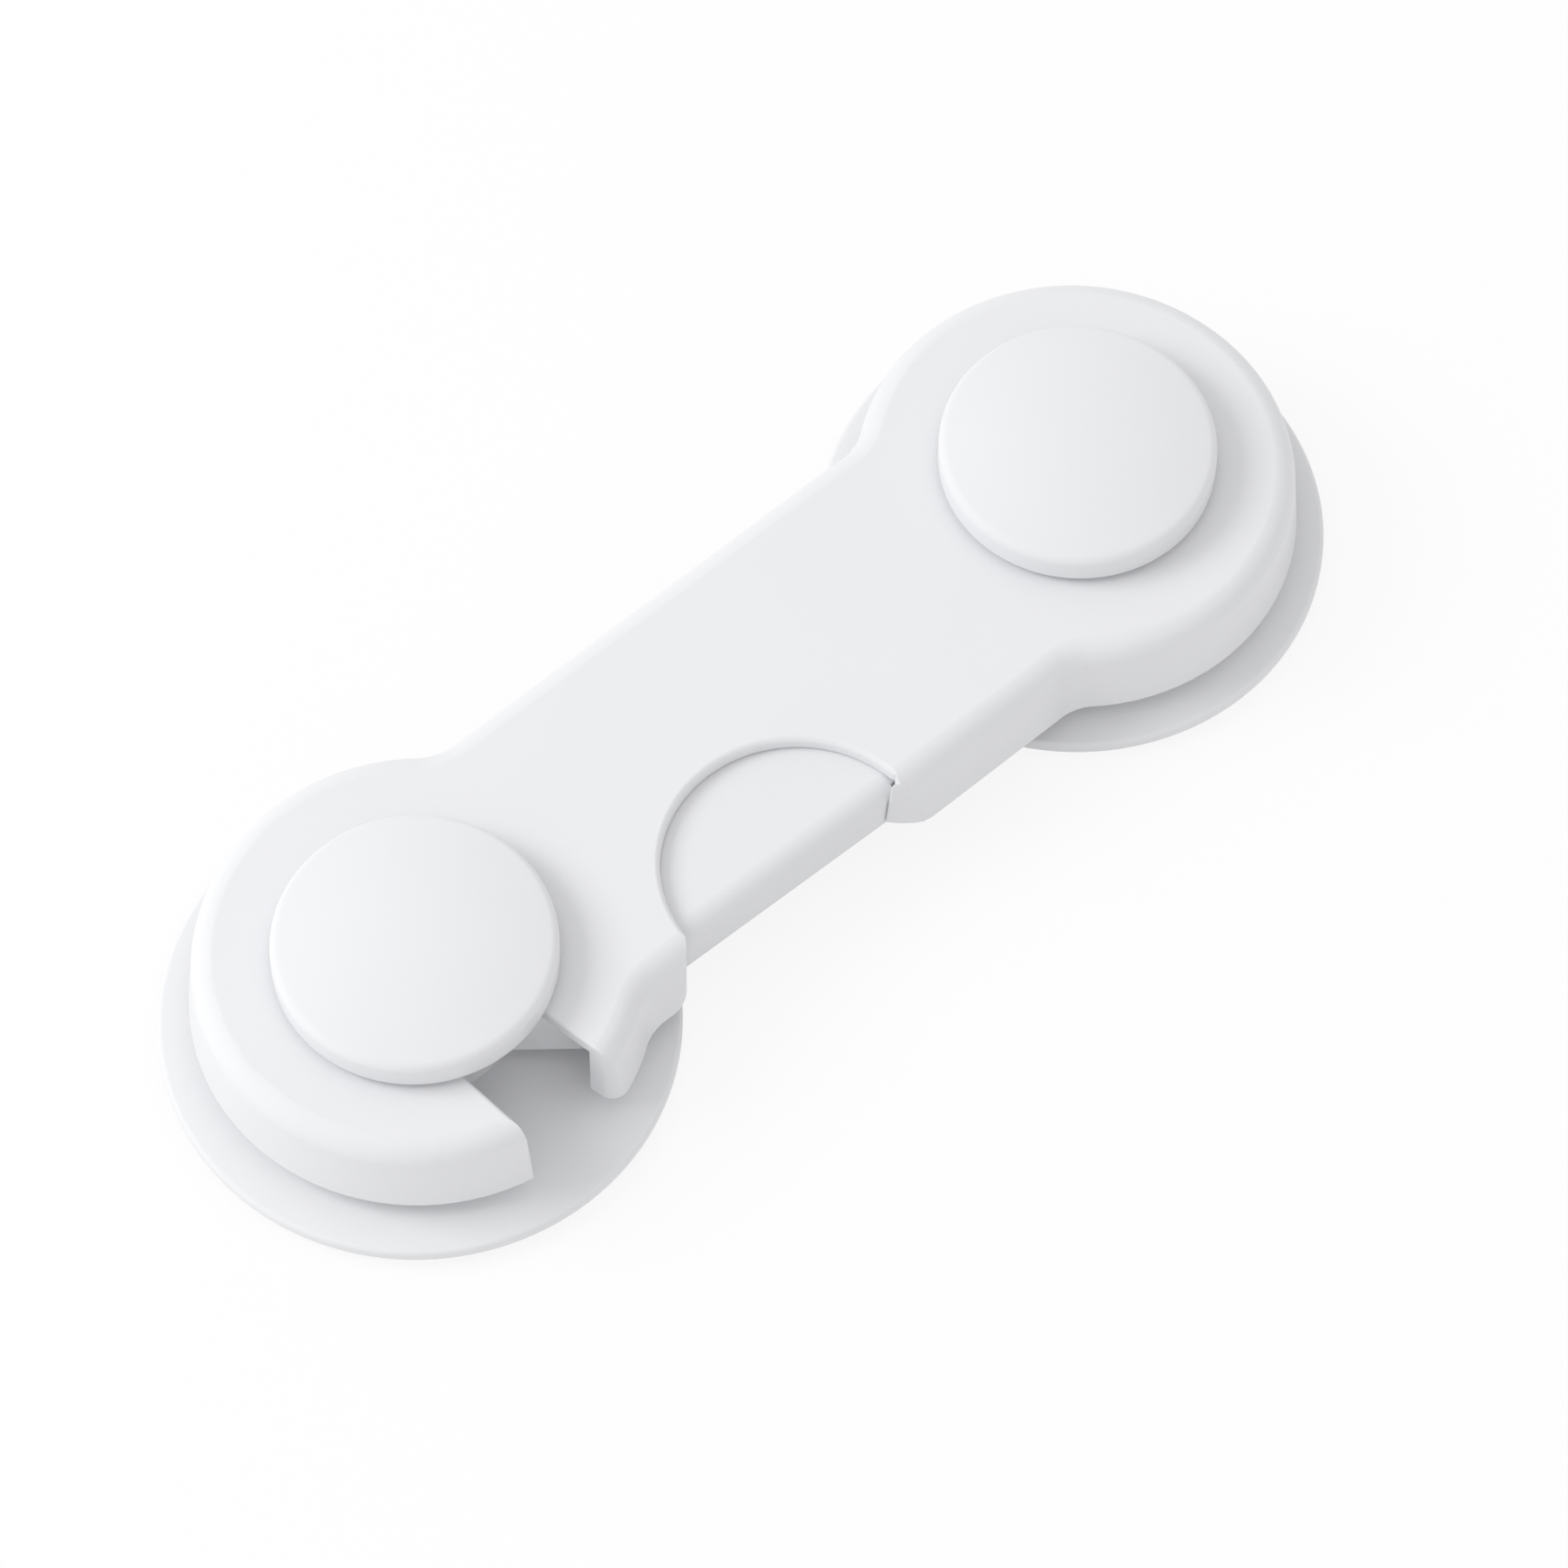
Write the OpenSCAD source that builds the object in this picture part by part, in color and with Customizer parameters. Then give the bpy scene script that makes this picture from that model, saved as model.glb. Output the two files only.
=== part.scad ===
// Cabinet safety lock: a hinged arm hooks round a catch post, and a sprung lever locks it there.
// +Z points away from the door face, the pivot end is at +X, and the hook's mouth and the
// thumb notch face -Y. The origin lies on the door face, midway between the two posts.

/* [Layout] */
// Distance between the centres of the two posts
post_spacing = 75; // [70:0.5:85]
// Gap between the flat boss of a base and the arm that turns on it
arm_gap = 0.2; // [0.1:0.05:0.6]
// Gap between the top of the arm and the button caps
cap_gap = 0.6; // [0.3:0.1:1.2]

/* [Adhesive pads] */
// Diameter of the foam pads
pad_d = 41; // [34:0.5:44]
// Thickness of the foam pads
pad_t = 1; // [0.6:0.1:2]

/* [Bases] */
// Diameter of the base discs
base_d = 45; // [42:0.5:52]
// Height of the upright rim of a disc
rim_h = 1.3; // [0.8:0.1:2]
// Rounding of the rim's upper edge
rim_r = 0.5; // [0.2:0.1:0.7]
// Rise of the sloping top from the rim to the boss
slope_h = 1.9; // [0.8:0.1:3]
// Diameter of the flat boss that carries the arm
boss_d = 16; // [13:0.5:20]
// Height of the boss above the slope
boss_h = 0.3; // [0.2:0.1:0.8]
// Diameter of the posts
post_d = 7.6; // [7:0.1:8.4]
// Radial clearance of the pivot post in the arm
pivot_clear = 0.08; // [0.04:0.01:0.1]
// Diameter of the spigot that centres a cap on its post
spigot_d = 5; // [4:0.1:6]
// Height of the spigot
spigot_h = 1.2; // [0.6:0.1:1.6]
// Clearance round the spigot
spigot_clear = 0.05; // [0.02:0.01:0.15]

/* [Button caps] */
// Diameter of the button caps
cap_d = 24.4; // [20:0.1:28]
// Height of a cap's upright side
cap_side_h = 2.1; // [1.8:0.1:4]
// Rounding of a cap's upper edge
cap_edge_r = 1; // [0.8:0.1:2]
// Rise of the domed crown above the edge
cap_crown = 1.6; // [0.5:0.1:1.8]
// Wall of the cap round its cored underside
cap_wall = 2; // [1.2:0.1:3]
// Depth of the ring cored out of the underside
cap_core_h = 2.4; // [1:0.1:3]
// Width of the seat round the post that is left solid
cap_seat_w = 0.8; // [0.4:0.1:1.5]

/* [Cap screws] */
// Shank diameter of the screws that hold the caps
cap_screw_d = 2; // [1.6:0.1:2.4]
// Depth of thread in the cap
screw_bite = 2.1; // [1:0.1:2.4]
// Diameter of the screw head
cap_head_d = 4.2; // [3.6:0.1:4.8]
// Height of the screw head
cap_head_h = 1.3; // [0.8:0.1:1.8]
// Height of the head's seat inside the post, from the underside of the base
head_seat_h = 5.5; // [4:0.5:8]
// Clearance of a screw in the hole that it cuts its thread in
screw_clear = 0.04; // [0.02:0.01:0.15]
// Radial clearance of a screw or its head where it passes freely
pass_clear = 0.3; // [0.1:0.05:0.4]
// Room past the tip of a screw or the end of a pin
tip_room = 0.2; // [0.1:0.05:0.4]

/* [Arm] */
// Diameter of the round ends
lobe_d = 39.8; // [36:0.2:42]
// How far the hook's round end is moved from the catch post towards the pivot
hook_in = 0.7; // [0:0.05:1.5]
// How far the hook's round end is moved to the back, behind the mouth
hook_back = 0.5; // [0:0.05:1]
// Width of the straight middle
bar_w = 30; // [28:0.2:33]
// Height of the arm from its underside to its top
arm_h = 8.3; // [7.6:0.1:10]
// Draft of the outer walls in degrees
draft = 5; // [2:0.5:6]
// Rounding of the top edge
edge_r = 2.3; // [1.2:0.1:2.6]
// Radius of the four hollow necks
neck_r = 5; // [3:0.5:8]
// Thickness of the side walls
wall = 1.4; // [1.2:0.1:1.8]
// Thickness of the top wall
cover_t = 1.3; // [1.2:0.1:2]
// Diameter of the hub round the pivot bore
hub_d = 13; // [11:0.5:15]

/* [Hook mouth] */
// Width of the mouth
mouth_w = 9; // [8.6:0.1:10.5]
// Slant of the far wall of the mouth in degrees
mouth_tilt = 5; // [0:0.5:8]
// Clearance of the catch post along the near wall of the mouth
post_gap = 0.35; // [0.2:0.05:0.6]
// Wall round the closed end of the mouth
mouth_wall = 1.5; // [1.2:0.1:2]
// How far the beak's outer line lies past the straight side of the arm
beak_reach = 4.4; // [3.6:0.1:5.2]
// Thickness of the beak on the near side of the mouth, in from its outer line
beak_t = 4.2; // [3.6:0.1:5.6]
// Rounding of the beak's tip
beak_r = 1.6; // [0.6:0.1:1.8]

/* [Thumb notch] */
// Diameter of the thumb notch
notch_d = 23.6; // [20:0.2:26]
// Place of the notch along the arm, from the middle
notch_x = -6.9; // [-9:0.1:-4]
// Distance of the notch centre from the side of the arm
notch_set = 1; // [0:0.1:2]
// Rounding where the notch runs out at the side
flare_r = 3.3; // [1:0.1:4.5]

/* [Bottom plate] */
// Thickness of the bottom plate
plate_t = 1.5; // [1.2:0.1:2]
// Clearance of the plate in the shell
plate_gap = 0.3; // [0.2:0.05:0.5]
// Room in the plate at each end of the thumb notch
window_room = 2.2; // [1:0.1:3]
// Shank diameter of the plate screws
plate_screw_d = 2; // [1.6:0.1:2.4]
// Length of a plate screw
plate_screw_l = 5; // [3:0.5:5.5]
// Diameter of the countersunk heads
plate_head_d = 3.8; // [3:0.1:4.2]
// Height of the countersunk heads
plate_head_h = 0.9; // [0.6:0.1:1.1]
// Diameter of the screw bosses in the shell
screw_boss_d = 5; // [4.4:0.1:6]
// Distance of the screws at the pivot end from the hub
hub_screw_x = 13.5; // [8:0.5:16]
// Distance of the screws at the pivot end from the arm's middle line
hub_screw_y = 8; // [6:0.5:9]
// Distance of the screws at the catch end from the mouth
hook_screw_x = 5.6; // [5:0.1:7]
// Distance of the screws at the catch end from the arm's middle line
hook_screw_y = 6.5; // [4:0.5:8]

/* [Release lever] */
// Diameter of the steel pin
lever_pin_d = 3; // [2.4:0.1:3.4]
// Radial clearance of the lever on its pin
lever_pin_clear = 0.06; // [0.03:0.01:0.1]
// Diameter of the lever's eye
lever_eye_d = 6.4; // [5.6:0.1:7]
// Place of the pin along the arm, from the catch post
lever_pin_x = 6.6; // [6.4:0.1:7.4]
// Depth of the pin's seat in the top wall
pin_seat = 0.8; // [0.4:0.1:1]
// Gap above and below the lever
lever_gap = 0.15; // [0.1:0.05:0.3]
// Gap between the lever's shoulders and the side wall
side_gap = 0.3; // [0.2:0.05:0.5]
// Set-back of the thumb pad from the side of the arm
pad_set = 1.85; // [1.6:0.05:2.2]
// Slant of the thumb pad at rest in degrees
pad_tilt = 1.4; // [0:0.1:2]
// Gap between the notch and the right end of the thumb pad
pad_end_gap = 0.4; // [0.3:0.05:0.8]
// Gap between the notch and the left end of the thumb pad
pad_left_gap = 0.15; // [0.1:0.05:0.6]
// How far the right end of the thumb pad widens towards its root
pad_root_out = 0.2; // [0:0.05:0.25]
// Rounding of the thumb pad's upper edge
pad_edge_r = 1; // [0.4:0.1:1.2]
// Length of the shoulders behind the side wall
shoulder_l = 3.6; // [2.5:0.1:4.5]
// Lap of the lever under the cover behind the notch
cover_lap = 1.2; // [0.6:0.1:2]
// Width of the lever's swing arm
swing_w = 5; // [4:0.1:5.4]
// Set-back of the swing arm's foot from the pin
swing_set = 4; // [3.5:0.1:6]
// How far the latch tooth stands across the catch post
tooth_catch = 1.6; // [1:0.1:2]
// Play between the catch post and the tooth
tooth_play = 1.2; // [0.6:0.1:2]
// Width of the tooth at its tip
tooth_tip_w = 3; // [2:0.1:3.4]
// Slope of the tooth's lead-in ramp in degrees
ramp_angle = 39.5; // [32:0.5:42]
// Undercut of the tooth's locking face in degrees
hook_angle = 18; // [8:1:20]
// Set-back of the tooth's root from the near wall of the mouth
tooth_root = 2.2; // [1:0.1:3]
// Gap between the tooth and the plane of the arm's underside
tooth_gap = 0.3; // [0.2:0.05:0.8]
// Room in the bottom plate past the tooth for its swing
tooth_room = 4.4; // [4:0.1:5]

/* [Return spring] */
// Length of the spring at rest
spring_l = 9; // [7:0.5:10]
// Diameter of the coil at the middle of the wire
spring_d = 3.8; // [3.4:0.1:4.2]
// Diameter of the wire
wire_d = 0.5; // [0.3:0.05:0.6]
// Number of turns
turns = 6; // [4:1:8]
// Place of the spring along the lever, from the notch centre
spring_x = -7; // [-9:0.5:-3]
// Diameter of the pegs inside the coil ends
peg_d = 2.4; // [1.8:0.1:2.6]
// Length of the pegs
peg_l = 1.6; // [1:0.1:2.5]
// Gap between the spring's ends and their seats
spring_gap = 0.1; // [0.05:0.05:0.3]
// Clearance of the coil in the channel of the top wall and the bottom plate
spring_clear = 0.8; // [0.7:0.05:1.2]
// Width of the rib that the spring bears on
rib_w = 6.2; // [5:0.1:8]
// Thickness of the rib
rib_t = 1.8; // [1.2:0.1:2.5]

/* [Hidden] */
$fn = 96;
// Overlap of cutting tools past the faces that they cut
cut = 1;
// Small crossing that keeps blended faces from touching only at a tangent
cross = 0.02;
// Share of the arm's half width that the neck fills reach in to
core_share = 0.6;

catch_x = -post_spacing / 2;
pivot_x = post_spacing / 2;
post_r = post_d / 2;
lobe_r = lobe_d / 2;
half_w = bar_w / 2;
hook_pos = [catch_x + hook_in, hook_back];
bar_l = pivot_x - hook_pos[0];

base_z = pad_t;
boss_z = base_z + rim_h + slope_h + boss_h;
arm_z = boss_z + arm_gap;
arm_top = arm_z + arm_h;
cover_z = arm_top - cover_t;
cap_z = arm_top + cap_gap;
plate_top = arm_z + plate_t;
lever_z0 = plate_top + lever_gap;
lever_z1 = cover_z - lever_gap;
head_z = base_z + head_seat_h;
screw_tip_z = cap_z + spigot_h + screw_bite;

// Top edge of the arm: an arc that starts square to the drafted wall and just crosses the top plane
arc_z = arm_h - edge_r + cross;
arc_start_z = arc_z + edge_r * sin(draft);
arc_inset = arc_start_z * tan(draft) + edge_r * cos(draft);

// Hook mouth: its near wall is an arc about the pivot, so that the catch post runs along it
mouth_r = mouth_w / 2;
mouth_x = catch_x + post_r + post_gap - mouth_r;
mouth_arc_r = pivot_x - mouth_x - mouth_r + cross;
lead_in = [sin(mouth_tilt), -cos(mouth_tilt)];
lead_start = [mouth_x, 0] + (mouth_r - cross) * [-cos(mouth_tilt), -sin(mouth_tilt)];
lead_l = 2 * lobe_r;

// Thumb notch
notch_r = notch_d / 2;
notch_y = notch_set - half_w;

// Release lever: the front follows the inside of the side wall, and the back runs under the cover
inside_half_w = half_w - wall - (lever_z1 - arm_z) * tan(draft);
lever_front = side_gap - inside_half_w;
lever_back = notch_y + notch_r + cover_lap;
lever_right = notch_x + notch_r + shoulder_l;
pin_pos = [catch_x + lever_pin_x, inside_half_w - side_gap - lever_eye_d / 2];
pin_top = cover_z + pin_seat;
tooth_tip_x = catch_x + post_r - tooth_catch;
tooth_top_y = -post_r - tooth_play;
tooth_low_y = tooth_top_y - tooth_tip_w;
ramp_end = [
    tooth_tip_x + (tooth_low_y - lever_front) / tan(ramp_angle),
    lever_front
];
tooth_end_x = ramp_end[0] + tooth_root;
root_x = mouth_x + mouth_r + tooth_root;
root_y = tooth_top_y - (root_x - tooth_tip_x) * tan(hook_angle);
swing_foot = [pin_pos[0] + swing_set, (lever_front + lever_back) / 2];

// Return spring
spring_r = spring_d / 2;
spring_pos = [notch_x + spring_x, lever_back, (lever_z0 + lever_z1) / 2];
spring_end_y = lever_back + spring_l;
ring_steps = 8;
wire_sides = 6;
coil_span = spring_l - 2 * spring_gap - wire_d;

// Screws that hold the bottom plate: two beside the hub, two beside the closed end of the mouth
hub_side_x = pivot_x - hub_d / 2 - hub_screw_x;
hook_side_x = mouth_x - mouth_r - hook_screw_x;
plate_screws_at = [
    [hub_side_x, hub_screw_y],
    [hub_side_x, -hub_screw_y],
    [hook_side_x, hook_screw_y],
    [hook_side_x, -hook_screw_y]
];

// Foam pad under a base
module pad(x) {
    translate([x, 0, 0])
        cylinder(d = pad_d, h = pad_t);
}

// Disc with its rim, sloping top, boss and hollow post
module base(x) {
    translate([x, 0, base_z])
        difference() {
            union() {
                rotate_extrude()
                    base_profile();
                cylinder(d = post_d, h = cap_z - base_z);
                cylinder(d = spigot_d, h = cap_z - base_z + spigot_h);
            }
            translate([0, 0, -cut])
                cylinder(d = cap_head_d + 2 * pass_clear, h = head_seat_h + cut);
            cylinder(d = cap_screw_d + 2 * pass_clear, h = screw_tip_z);
        }
}

// Half section of a base disc, from its axis outwards
module base_profile() {
    r = base_d / 2;
    slope_z = rim_h + slope_h;
    polygon([
        [0, 0],
        [r, 0],
        [r, rim_h - rim_r],
        [r - rim_r, rim_h],
        [boss_d / 2 + boss_h, slope_z],
        [boss_d / 2, slope_z + boss_h],
        [0, slope_z + boss_h]
    ]);
    translate([r - rim_r, rim_h - rim_r])
        circle(r = rim_r);
}

// Domed button with a cored underside, a socket for the spigot and a hole for its screw
module cap(x) {
    core_r = cap_d / 2 - cap_wall;
    seat_r = post_r + cap_seat_w;
    translate([x, 0, cap_z])
        difference() {
            rotate_extrude()
                cap_profile();
            translate([0, 0, -cut])
                difference() {
                    cylinder(r = core_r, h = cap_core_h + cut);
                    cylinder(r = seat_r, h = cap_core_h + cut);
                }
            translate([0, 0, -cut])
                cylinder(d = spigot_d + 2 * spigot_clear, h = spigot_h + tip_room + cut);
            cylinder(d = cap_screw_d + 2 * screw_clear, h = spigot_h + screw_bite + tip_room);
        }
}

// Half section of a cap: upright side, rounded edge and shallow spherical crown
module cap_profile() {
    r = cap_d / 2;
    flat_r = r - cap_edge_r;
    edge_z = cap_side_h + cap_edge_r;
    crown_r = (flat_r * flat_r + cap_crown * cap_crown) / (2 * cap_crown);
    square([r, cap_side_h]);
    square([flat_r, edge_z - cross]);
    translate([flat_r, cap_side_h])
        circle(r = cap_edge_r);
    intersection() {
        translate([0, edge_z + cap_crown - crown_r])
            circle(r = crown_r);
        translate([0, cap_side_h])
            square([flat_r, cap_edge_r + cap_crown]);
    }
}

// Screw that comes up through a post into its cap
module cap_screw(x) {
    translate([x, 0, head_z]) {
        cylinder(d = cap_screw_d, h = screw_tip_z - head_z);
        translate([0, 0, -cap_head_h])
            difference() {
                cylinder(d = cap_head_d, h = cap_head_h);
                cross_recess(cap_head_d, cap_head_h);
            }
    }
}

// Cross-shaped driver recess that opens downwards
module cross_recess(head_d, head_h) {
    span = 0.55 * head_d;
    arm = span / 4;
    depth = 0.6 * head_h;
    translate([-span / 2, -arm / 2, -cut])
        cube([span, arm, depth + cut]);
    translate([-arm / 2, -span / 2, -cut])
        cube([arm, span, depth + cut]);
}

// Half section of the arm's outer form: drafted wall, rounded top edge and flat top
module arm_profile(reach) {
    arc_x = reach - arc_inset;
    intersection() {
        square([reach, arm_h]);
        union() {
            polygon([
                [0, 0],
                [reach, 0],
                [reach - arc_start_z * tan(draft), arc_start_z],
                [arc_x, arc_z],
                [arc_x, arm_h],
                [0, arm_h]
            ]);
            translate([arc_x, arc_z])
                circle(r = edge_r);
        }
    }
}

// Round end of the arm
module lobe(at) {
    translate([at[0], at[1], 0])
        rotate_extrude()
            arm_profile(lobe_r);
}

// Straight middle of the arm
module bar() {
    translate([hook_pos[0], 0, 0])
        rotate([90, 0, 90])
            linear_extrude(bar_l) {
                arm_profile(half_w);
                mirror([1, 0])
                    arm_profile(half_w);
            }
}

// Fill of one neck beside a round end, hollowed about an upright axis outside the arm
module neck(at) {
    reach = neck_r - cross;
    neck_y = half_w + reach;
    from_lobe = sqrt(pow(lobe_r + reach, 2) - pow(neck_y + at[1], 2));
    centre = [at[0] - from_lobe, -neck_y];
    lobe_share = core_share * lobe_r / (lobe_r + reach);
    inner = at + lobe_share * (centre - at);
    depth = 2 * arc_inset + edge_r;
    difference() {
        linear_extrude(arm_h)
            polygon([centre, inner, [centre[0], -core_share * half_w]]);
        translate([centre[0], centre[1], 0])
            rotate_extrude()
                difference() {
                    translate([0, -cut])
                        square([neck_r + depth - arc_inset, arm_h + 2 * cut]);
                    translate([neck_r + depth, 0])
                        mirror([1, 0])
                            arm_profile(depth);
                }
    }
}

// Outer form of the arm, standing on its own underside
module arm_body() {
    lobe([pivot_x, 0]);
    lobe(hook_pos);
    bar();
    for (side = [0, 1])
        mirror([0, side, 0]) {
            neck([pivot_x, 0]);
            mirror([1, 0, 0])
                neck([-hook_pos[0], (1 - 2 * side) * hook_pos[1]]);
        }
}

// Space inside the shell, as wide as the walls allow
module arm_cavity() {
    depth = arm_h - cover_t;
    taper = depth * tan(draft);
    inner_r = lobe_r - wall;
    inner_w = half_w - wall;
    for (at = [hook_pos, [pivot_x, 0]])
        translate([at[0], at[1], 0])
            cylinder(r1 = inner_r, r2 = inner_r - taper, h = depth);
    translate([hook_pos[0], 0, 0])
        rotate([90, 0, 90])
            linear_extrude(bar_l)
                polygon([
                    [-inner_w, 0],
                    [inner_w, 0],
                    [inner_w - taper, depth],
                    [taper - inner_w, depth]
                ]);
}

// Space of the mouth between two heights, grown by a margin on its far side and closed end
module mouth(margin, low, high) {
    start = lead_start - margin * [cos(mouth_tilt), sin(mouth_tilt)];
    finish = start + lead_l * lead_in;
    translate([0, 0, low]) {
        translate([mouth_x, 0, 0])
            cylinder(r = mouth_r + margin, h = high - low);
        difference() {
            linear_extrude(high - low)
                polygon([
                    [mouth_x, 0],
                    start,
                    finish,
                    [catch_x + lobe_r, finish[1]],
                    [catch_x + lobe_r, 0]
                ]);
            translate([pivot_x, 0, -cut])
                cylinder(r = mouth_arc_r, h = high - low + 2 * cut);
        }
    }
}

// Corner that is cut away to round the tip of the beak
module beak_corner() {
    from_pivot = mouth_arc_r - beak_r + cross;
    from_hook = lobe_r - beak_r + cross;
    span = norm(hook_pos - [pivot_x, 0]);
    line = (hook_pos - [pivot_x, 0]) / span;
    along = (pow(from_pivot, 2) - pow(from_hook, 2) + span * span) / (2 * span);
    across = sqrt(pow(from_pivot, 2) - along * along);
    centre = [pivot_x, 0] + along * line + across * [-line[1], line[0]];
    to_mouth = (centre - [pivot_x, 0]) / from_pivot;
    to_rim = (centre - hook_pos) / from_hook;
    far = 3 * beak_r;
    difference() {
        translate([0, 0, -cut])
            linear_extrude(arm_h + 2 * cut)
                polygon([
                    centre,
                    centre + far * to_mouth,
                    centre + far * (to_mouth + to_rim),
                    centre + far * to_rim
                ]);
        translate([centre[0], centre[1], -2 * cut])
            cylinder(r = beak_r, h = arm_h + 4 * cut);
    }
}

// Thumb notch with its two rounded run-outs
module notch() {
    side_y = flare_r - half_w - cross;
    reach = notch_r + flare_r - cross;
    run = sqrt(reach * reach - pow(side_y - notch_y, 2));
    translate([notch_x, notch_y, -cut])
        cylinder(r = notch_r, h = arm_h + 2 * cut);
    for (side = [-1, 1]) {
        centre = [notch_x + side * run, side_y];
        toward = ([notch_x, notch_y] - centre) / reach;
        near = centre + (flare_r + cut) * toward;
        difference() {
            translate([0, 0, -cut])
                linear_extrude(arm_h + 2 * cut)
                    polygon([
                        centre,
                        near,
                        [near[0], side_y - 2 * flare_r],
                        [centre[0], side_y - 2 * flare_r]
                    ]);
            translate([centre[0], centre[1], -2 * cut])
                cylinder(r = flare_r, h = arm_h + 4 * cut);
        }
    }
}

// Ribs, bosses and walls that stand inside the shell
module shell_inside() {
    depth = cover_z - arm_z + cut;
    translate([pivot_x, 0, 0])
        cylinder(d = hub_d, h = depth);
    difference() {
        mouth(mouth_wall, 0, depth);
        translate([mouth_x, -2 * lobe_r, -cut])
            cube([2 * lobe_r, 2 * lobe_r + mouth_r / 2, depth + 2 * cut]);
    }
    translate([catch_x, beak_t - beak_reach - half_w - lobe_r, 0])
        cube([lobe_r, lobe_r, depth]);
    for (at = plate_screws_at)
        translate([at[0], at[1], plate_t])
            cylinder(d = screw_boss_d, h = depth - plate_t);
    translate([spring_pos[0] - rib_w / 2, spring_end_y, plate_t])
        cube([rib_w, rib_t, depth - plate_t]);
}

// Channel round the spring in the walls above and below it
module spring_channel() {
    translate([spring_pos[0], lever_back, spring_pos[2] - arm_z])
        rotate([-90, 0, 0])
            cylinder(r = spring_r + wire_d / 2 + spring_clear, h = spring_l + rib_t / 2);
}

// Upper shell of the arm, with the hook, the thumb notch and the pivot bore
module arm_shell() {
    color("white")
        translate([0, 0, arm_z])
            difference() {
                union() {
                    difference() {
                        arm_body();
                        arm_cavity();
                        spring_channel();
                    }
                    intersection() {
                        arm_body();
                        shell_inside();
                    }
                    translate([0, 0, -arm_z])
                        spring_peg(spring_end_y, -1);
                }
                translate([pivot_x, 0, -cut])
                    cylinder(r = post_r + pivot_clear, h = arm_h + 2 * cut);
                mouth(0, -cut, arm_h + cut);
                beak_corner();
                notch();
                for (at = plate_screws_at)
                    translate([at[0], at[1], 0])
                        cylinder(d = plate_screw_d + 2 * screw_clear, h = plate_screw_l + tip_room);
                translate([pin_pos[0], pin_pos[1], 0])
                    cylinder(d = lever_pin_d + 2 * screw_clear, h = pin_top - arm_z);
            }
}

// Bottom plate that closes the shell and carries the lever
module arm_plate() {
    reach_r = lobe_r - wall - plate_gap;
    reach_w = half_w - wall - plate_gap;
    window_w = notch_d + 2 * window_room;
    color("gainsboro")
        translate([0, 0, arm_z])
            difference() {
                union() {
                    for (at = [hook_pos, [pivot_x, 0]])
                        translate([at[0], at[1], 0])
                            cylinder(r = reach_r, h = plate_t);
                    translate([hook_pos[0], -reach_w, 0])
                        cube([bar_l, 2 * reach_w, plate_t]);
                }
                translate([pivot_x, 0, -cut])
                    cylinder(d = hub_d + 2 * plate_gap, h = plate_t + 2 * cut);
                mouth(mouth_wall + plate_gap, -cut, plate_t + cut);
                translate([mouth_x, -lobe_r, -cut])
                    cube([tooth_end_x + tooth_room - mouth_x, lobe_r, plate_t + 2 * cut]);
                translate([notch_x - window_w / 2, -half_w, -cut])
                    cube([window_w, half_w + lever_front + cover_lap, plate_t + 2 * cut]);
                spring_channel();
                for (at = plate_screws_at)
                    translate([at[0], at[1], 0])
                        plate_screw(screw_clear, cut);
                translate([pin_pos[0], pin_pos[1], -cut])
                    cylinder(d = lever_pin_d + 2 * screw_clear, h = plate_t + 2 * cut);
            }
}

// Countersunk screw, grown by a margin where it is cut out of the plate
module plate_screw(margin, below) {
    translate([0, 0, -below])
        cylinder(d = plate_head_d + 2 * margin, h = below);
    cylinder(
        d1 = plate_head_d + 2 * margin,
        d2 = plate_screw_d + 2 * margin,
        h = plate_head_h
    );
    cylinder(d = plate_screw_d + 2 * margin, h = plate_screw_l);
}

// Peg inside one end of the return spring
module spring_peg(y, toward) {
    translate([spring_pos[0], y, spring_pos[2]])
        rotate([-90 * toward, 0, 0])
            translate([0, 0, -cut])
                cylinder(d = peg_d, h = peg_l + cut);
}

// Place of the slanted thumb pad's face at a point along the arm
function pad_face_y(x) = pad_set - half_w - (x - notch_x) * tan(pad_tilt);

// Lever in plan: latch tooth, thumb pad with shoulders, and swing arm up to the pin
module lever_plan() {
    pad_l = notch_x - notch_r + pad_left_gap;
    pad_r = notch_x + notch_r - pad_end_gap;
    reach = pin_pos - swing_foot;
    polygon([
        [tooth_tip_x, tooth_top_y],
        [tooth_tip_x, tooth_low_y],
        ramp_end,
        [pad_l, lever_front],
        [pad_l, pad_face_y(pad_l)],
        [pad_r, pad_face_y(pad_r)],
        [pad_r + pad_root_out, lever_front],
        [lever_right, lever_front],
        [lever_right, lever_back],
        [swing_foot[0], lever_back],
        [root_x, root_y]
    ]);
    translate(swing_foot)
        rotate(atan2(reach[1], reach[0]))
            translate([0, -swing_w / 2])
                square([norm(reach), swing_w]);
    translate(pin_pos)
        circle(d = lever_eye_d);
}

// Part of the tooth that reaches down beside the bottom plate
module tooth_plan() {
    polygon([
        [tooth_tip_x, tooth_top_y],
        [tooth_tip_x, tooth_low_y],
        ramp_end,
        [tooth_end_x, lever_front],
        [tooth_end_x, root_y],
        [root_x, root_y]
    ]);
}

// Rounding along the upper edge of the thumb pad
module pad_edge() {
    translate([notch_x, pad_set - half_w, lever_z1 - pad_edge_r])
        rotate([0, 0, -pad_tilt])
            translate([-notch_r, 0, 0])
                rotate([90, 0, 90])
                    linear_extrude(notch_d)
                        difference() {
                            translate([-cut, 0])
                                square([pad_edge_r + cut - cross, pad_edge_r + cut]);
                            translate([pad_edge_r - cross, 0])
                                circle(r = pad_edge_r);
                        }
}

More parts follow.
